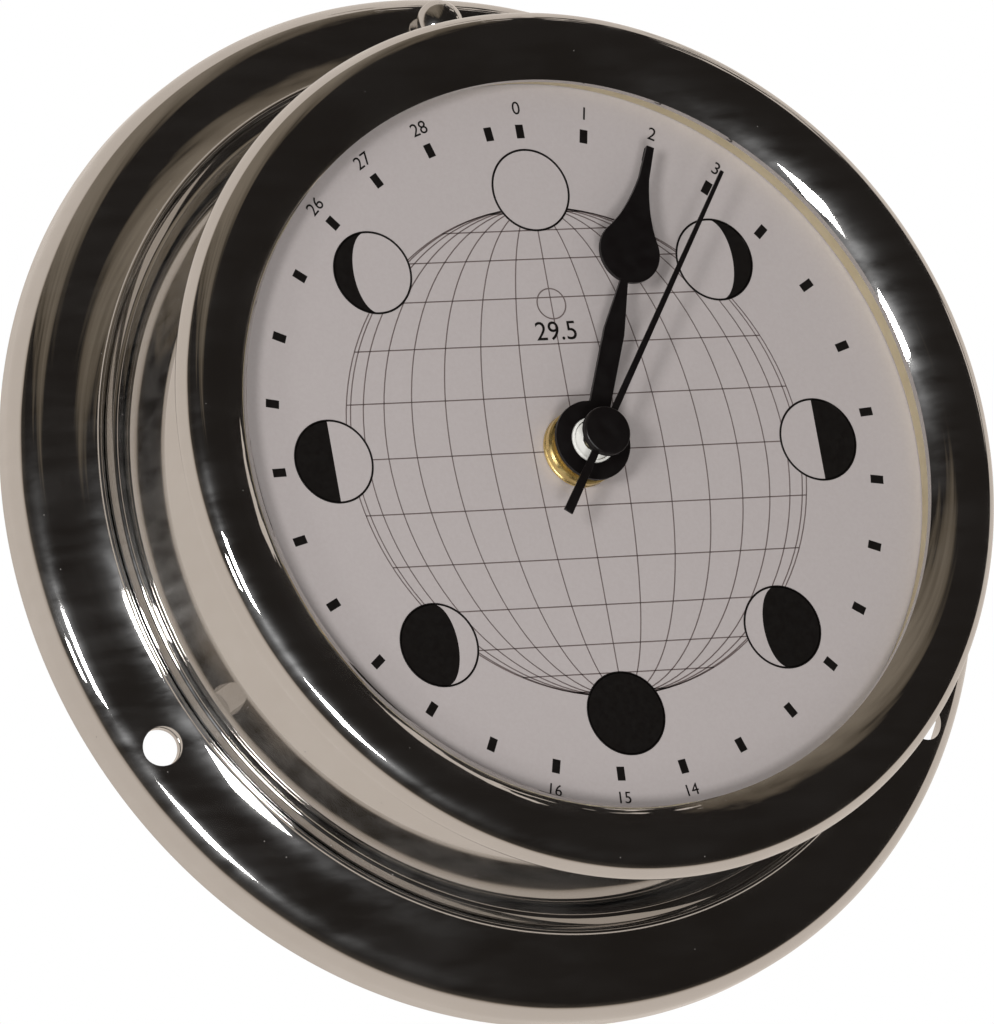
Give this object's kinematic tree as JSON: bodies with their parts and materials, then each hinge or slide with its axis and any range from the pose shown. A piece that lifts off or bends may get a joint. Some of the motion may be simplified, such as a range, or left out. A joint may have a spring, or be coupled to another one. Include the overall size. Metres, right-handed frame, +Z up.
{
  "type": "tide clock",
  "caption": "Round chromed wall clock on a domed mounting ring, with a moon-month dial, a spade hand, a sweep seconds hand and a geared battery movement.",
  "frame": {"origin": "centre of the wall plane that the mounting ring rests on", "axes": "+Z up to twelve o'clock, +X to the viewer's right, the front faces -Y, +Y points into the wall"},
  "size_m": [0.15, 0.0385, 0.15],
  "materials": {
    "chrome": "mirror-bright plated brass",
    "spacer_brass": "pale polished brass",
    "dial_white": "matt warm white paint",
    "steel": "plain zinc-bright steel",
    "rubber": "matt black rubber",
    "brass": "bright turned brass",
    "black_plastic": "fine moulded texture",
    "white_plastic": "smooth moulded",
    "gear_plastic": "unpainted acetal",
    "copper_wire": "enamelled winding",
    "board": "green solder mask",
    "cell_jacket": "plain sleeve",
    "black_paint": "satin black paint"
  },
  "bodies": {
    "case": {"mounting_ring": "chrome", "case_drum": "chrome", "bezel_ring": "chrome", "top_mounting_screw": "chrome", "spacer_ring": "spacer_brass", "dial_plate": "dial_white", "case_screw_1": "steel", "case_screw_2": "steel", "case_screw_3": "steel", "case_nut_1": "steel", "case_nut_2": "steel", "case_nut_3": "steel", "dial_washer": "rubber", "threaded_bush": "brass", "fixing_nut": "brass", "movement_rear_shell": "black_plastic", "movement_front_shell": "black_plastic", "gear_bridge": "white_plastic", "motor_stator": "steel", "motor_coil": "copper_wire", "circuit_board": "board", "timing_crystal": "steel", "cell": "cell_jacket", "positive_contact": "steel", "negative_contact": "steel"},
    "seconds": {"seconds_wheel": "gear_plastic", "seconds_hand": "black_paint", "seconds_cap": "black_paint"},
    "rotor": {"rotor": "steel"},
    "intermediate_wheel": {"intermediate_wheel": "gear_plastic"},
    "third_wheel": {"third_wheel": "gear_plastic"},
    "centre_wheel": {"centre_wheel": "gear_plastic"},
    "first_moon_wheel": {"first_moon_wheel": "white_plastic"},
    "second_moon_wheel": {"second_moon_wheel": "white_plastic"},
    "clutch_wheel": {"clutch_wheel": "white_plastic"},
    "moon": {"moon_wheel": "white_plastic", "moon_collet": "white_plastic", "moon_hand": "black_paint"},
    "clutch_pinion": {"clutch_pinion": "brass"},
    "setting_knob": {"setting_knob": "black_plastic"}
  },
  "joints": [
    {"name": "seconds_turn", "type": "hinge", "parent": "case", "child": "seconds", "pos_m": [0, -0.03725, 0], "axis": [0, 1, 0], "continuous": true},
    {"name": "rotor_turn", "type": "hinge", "parent": "case", "child": "rotor", "pos_m": [-0.01345, -0.016, 0.01105], "axis": [0, 1, 0], "continuous": true},
    {"name": "intermediate_wheel_turn", "type": "hinge", "parent": "case", "child": "intermediate_wheel", "pos_m": [-0.00578, -0.016, 0.00826], "axis": [0, 1, 0], "continuous": true},
    {"name": "third_wheel_turn", "type": "hinge", "parent": "case", "child": "third_wheel", "pos_m": [0.00895, -0.016, 0.00326], "axis": [0, 1, 0], "continuous": true},
    {"name": "centre_wheel_turn", "type": "hinge", "parent": "case", "child": "centre_wheel", "pos_m": [0, -0.016, 0], "axis": [0, 1, 0], "continuous": true},
    {"name": "first_moon_wheel_turn", "type": "hinge", "parent": "case", "child": "first_moon_wheel", "pos_m": [0.0013, -0.016, 0.00739], "axis": [0, 1, 0], "continuous": true},
    {"name": "second_moon_wheel_turn", "type": "hinge", "parent": "case", "child": "second_moon_wheel", "pos_m": [0.0048, -0.016, 0.01345], "axis": [0, 1, 0], "continuous": true},
    {"name": "clutch_wheel_turn", "type": "hinge", "parent": "case", "child": "clutch_wheel", "pos_m": [0.00885, -0.016, 0.00577], "axis": [0, 1, 0], "continuous": true},
    {"name": "moon_turn", "type": "hinge", "parent": "case", "child": "moon", "pos_m": [0, -0.0335, 0], "axis": [0, 1, 0], "continuous": true},
    {"name": "clutch_pinion_turn", "type": "hinge", "parent": "case", "child": "clutch_pinion", "pos_m": [0.00885, -0.016, 0.00577], "axis": [0, 1, 0], "continuous": true},
    {"name": "setting_knob_turn", "type": "hinge", "parent": "case", "child": "setting_knob", "pos_m": [-0.00992, -0.0084, -0.00361], "axis": [0, 1, 0], "continuous": true}
  ],
  "couplings": [
    {"joint": "intermediate_wheel_turn", "follows": "seconds_turn", "ratio": -6},
    {"joint": "rotor_turn", "follows": "seconds_turn", "ratio": 30},
    {"joint": "third_wheel_turn", "follows": "seconds_turn", "ratio": -0.13333},
    {"joint": "centre_wheel_turn", "follows": "seconds_turn", "ratio": 0.016667},
    {"joint": "first_moon_wheel_turn", "follows": "seconds_turn", "ratio": -0.0041667},
    {"joint": "second_moon_wheel_turn", "follows": "seconds_turn", "ratio": 0.00079365},
    {"joint": "clutch_wheel_turn", "follows": "seconds_turn", "ratio": -0.00011758},
    {"joint": "clutch_pinion_turn", "follows": "moon_turn", "ratio": -5},
    {"joint": "setting_knob_turn", "follows": "moon_turn", "ratio": -5}
  ]
}
